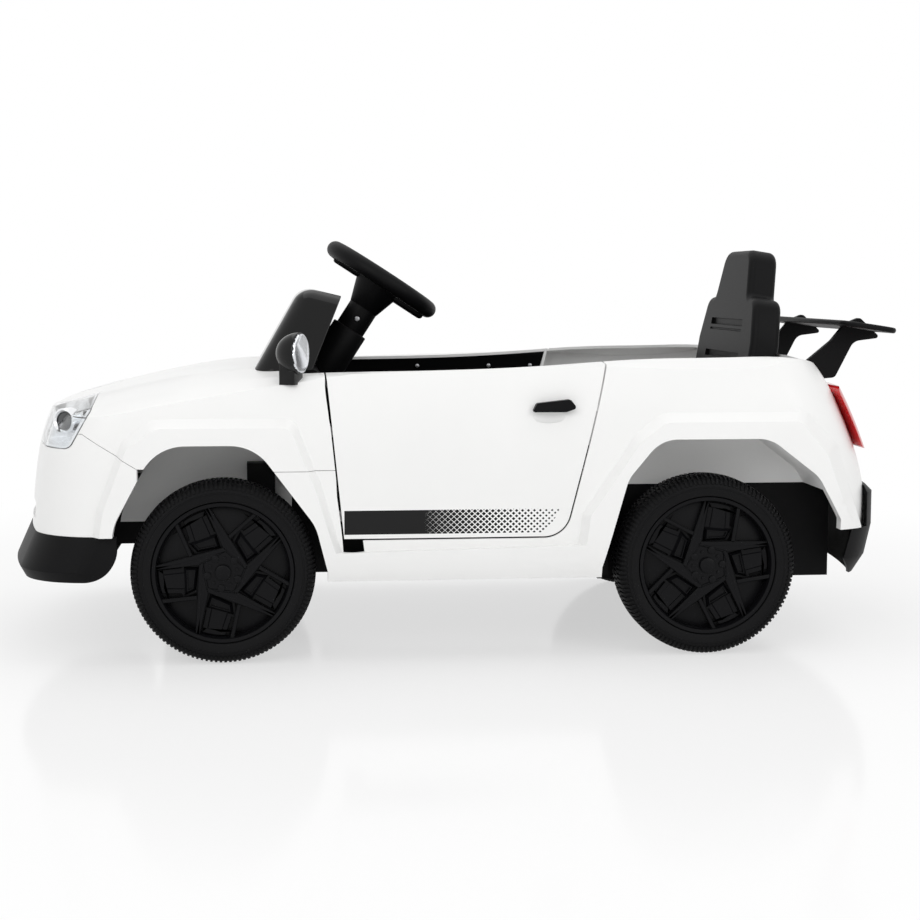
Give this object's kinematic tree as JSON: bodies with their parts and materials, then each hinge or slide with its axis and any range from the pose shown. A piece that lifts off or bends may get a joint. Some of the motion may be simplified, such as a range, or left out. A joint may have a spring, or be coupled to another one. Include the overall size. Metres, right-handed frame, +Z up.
{
  "type": "electric ride-on car",
  "caption": "Child's battery ride-on car: moulded shell with opening doors, windscreen surround, seat, rear wing, steered front wheels and driven rear wheels on a tray chassis.",
  "frame": {"origin": "on the ground, under the middle of the car's bounding box", "axes": "+X towards the tail, -X towards the nose, -Y the car's left side, +Z up"},
  "size_m": [1.114, 0.5798, 0.5078],
  "materials": {
    "white_shell": "moulded white, semi gloss",
    "black_plastic": "moulded black, fine grain",
    "gloss_black": "polished black",
    "tyre_plastic": "matte black",
    "rim_plastic": "dark grey, satin",
    "clear_lens": "clear",
    "lamp_chrome": "bright",
    "red_lens": "translucent red",
    "mirror_face": "silvered",
    "steel": "zinc plated",
    "motor_can": "plated can",
    "grey_case": "grey case",
    "red_button": "red"
  },
  "bodies": {
    "body": {"main_body": "white_shell", "hood_cover": "white_shell", "front_bumper": "white_shell", "grille": "black_plastic", "front_lip": "black_plastic", "rear_bumper": "black_plastic", "floor_pan": "black_plastic", "dashboard": "black_plastic", "seat_base": "black_plastic", "seat_back": "black_plastic", "wing_blade": "black_plastic", "wing_strut_left": "black_plastic", "wing_strut_right": "black_plastic", "column_sleeve": "black_plastic", "pedal_base": "black_plastic", "gearbox_left": "black_plastic", "gearbox_right": "black_plastic", "windscreen_cowl": "gloss_black", "mirror_shell_left": "gloss_black", "mirror_shell_right": "gloss_black", "headlight_lens_left": "clear_lens", "headlight_lens_right": "clear_lens", "headlight_bowl_left": "lamp_chrome", "headlight_bowl_right": "lamp_chrome", "taillight_left": "red_lens", "taillight_right": "red_lens", "mirror_glass_left": "mirror_face", "mirror_glass_right": "mirror_face", "rear_axle": "steel", "door_hinge_pins": "steel", "seat_screws": "steel", "motor_left": "motor_can", "motor_right": "motor_can", "battery": "grey_case", "receiver_box": "grey_case", "charge_socket": "grey_case"},
    "left_door": {"door_left": "white_shell", "door_trim_left": "black_plastic", "door_handle_left": "black_plastic"},
    "right_door": {"door_right": "white_shell", "door_trim_right": "black_plastic", "door_handle_right": "black_plastic"},
    "steering": {"steering_wheel": "black_plastic", "steering_rod": "steel"},
    "horn": {"horn_button": "black_plastic"},
    "left_knuckle": {"knuckle_left": "steel"},
    "right_knuckle": {"knuckle_right": "steel"},
    "tie_bar": {"tie_rod": "steel"},
    "front_left_wheel": {"tyre_front_left": "tyre_plastic", "rim_front_left": "rim_plastic"},
    "front_right_wheel": {"tyre_front_right": "tyre_plastic", "rim_front_right": "rim_plastic"},
    "rear_left_wheel": {"tyre_rear_left": "tyre_plastic", "rim_rear_left": "rim_plastic"},
    "rear_right_wheel": {"tyre_rear_right": "tyre_plastic", "rim_rear_right": "rim_plastic"},
    "pedal": {"accelerator_pedal": "black_plastic"},
    "power_key": {"power_button": "red_button"},
    "direction_key": {"direction_switch": "red_button"}
  },
  "joints": [
    {"name": "steering_turn", "type": "hinge", "parent": "body", "child": "steering", "pos_m": [-0.082, 0, 0.457], "axis": [0.5446, 0, 0.8387], "range_deg": [-45, 45]},
    {"name": "knuckle_left_turn", "type": "hinge", "parent": "body", "child": "left_knuckle", "pos_m": [-0.286, -0.205, 0.11], "axis": [0, 0, 1], "range_deg": [-18, 18]},
    {"name": "knuckle_right_turn", "type": "hinge", "parent": "body", "child": "right_knuckle", "pos_m": [-0.286, 0.205, 0.11], "axis": [0, 0, 1], "range_deg": [-18, 18]},
    {"name": "tie_bar_swing", "type": "hinge", "parent": "left_knuckle", "child": "tie_bar", "pos_m": [-0.331, -0.205, 0.109], "axis": [0, 0, 1], "range_deg": [-18, 18]},
    {"name": "horn_press", "type": "slide", "parent": "steering", "child": "horn", "axis": [-0.5446, 0, -0.8387], "range_m": [0, 0.002], "stiffness_N_per_m": 500},
    {"name": "front_left_spin", "type": "hinge", "parent": "left_knuckle", "child": "front_left_wheel", "pos_m": [-0.286, -0.252, 0.11], "axis": [0, 1, 0], "continuous": true},
    {"name": "front_right_spin", "type": "hinge", "parent": "right_knuckle", "child": "front_right_wheel", "pos_m": [-0.286, 0.252, 0.11], "axis": [0, 1, 0], "continuous": true},
    {"name": "rear_left_spin", "type": "hinge", "parent": "body", "child": "rear_left_wheel", "pos_m": [0.299, -0.252, 0.11], "axis": [0, 1, 0], "continuous": true},
    {"name": "rear_right_spin", "type": "hinge", "parent": "body", "child": "rear_right_wheel", "pos_m": [0.299, 0.252, 0.11], "axis": [0, 1, 0], "continuous": true},
    {"name": "door_left_swing", "type": "hinge", "parent": "body", "child": "left_door", "pos_m": [-0.142, -0.264, 0.2455], "axis": [0.1, 0, -0.995], "range_deg": [0, 60]},
    {"name": "door_right_swing", "type": "hinge", "parent": "body", "child": "right_door", "pos_m": [-0.142, 0.264, 0.2455], "axis": [-0.1, 0, 0.995], "range_deg": [0, 60]},
    {"name": "pedal_press", "type": "hinge", "parent": "body", "child": "pedal", "pos_m": [-0.013, 0.095, 0.1103], "axis": [0, -1, 0], "range_deg": [0, 14], "stiffness_Nm_per_rad": 4},
    {"name": "power_press", "type": "slide", "parent": "body", "child": "power_key", "axis": [-1, 0, 0], "range_m": [0, 0.003], "stiffness_N_per_m": 400},
    {"name": "direction_rock", "type": "hinge", "parent": "body", "child": "direction_key", "pos_m": [-0.148, -0.096, 0.25], "axis": [0, 1, 0], "range_deg": [-8, 8]}
  ],
  "couplings": [
    {"joint": "knuckle_left_turn", "follows": "steering_turn", "ratio": 0.4},
    {"joint": "knuckle_right_turn", "follows": "steering_turn", "ratio": 0.4},
    {"joint": "tie_bar_swing", "follows": "steering_turn", "ratio": -0.4}
  ]
}
